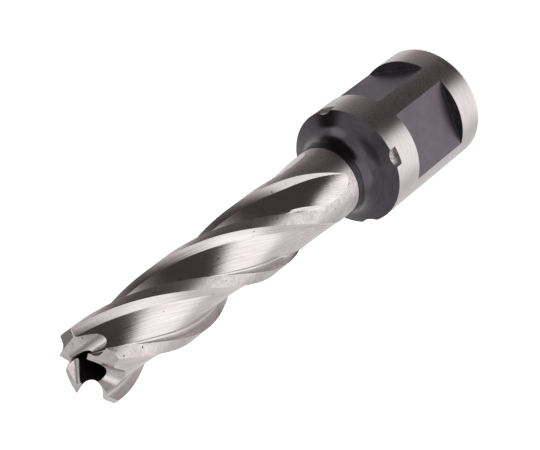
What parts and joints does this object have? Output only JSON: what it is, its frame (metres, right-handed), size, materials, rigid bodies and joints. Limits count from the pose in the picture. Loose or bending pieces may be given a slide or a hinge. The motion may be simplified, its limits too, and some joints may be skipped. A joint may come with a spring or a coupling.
{
  "type": "annular cutter",
  "caption": "Solid high speed steel annular cutter with helical flutes, ground teeth, a pilot bore and a shank with two drive flats.",
  "frame": {"origin": "centre of the shank's end face, on the cutter's axis", "axes": "+Z along the axis to the teeth, +X and +Y out of the two drive flats"},
  "size_m": [0.019, 0.019, 0.0869],
  "materials": {
    "steel": "ground"
  },
  "bodies": {
    "root": {"annular_cutter": "steel"}
  },
  "joints": []
}
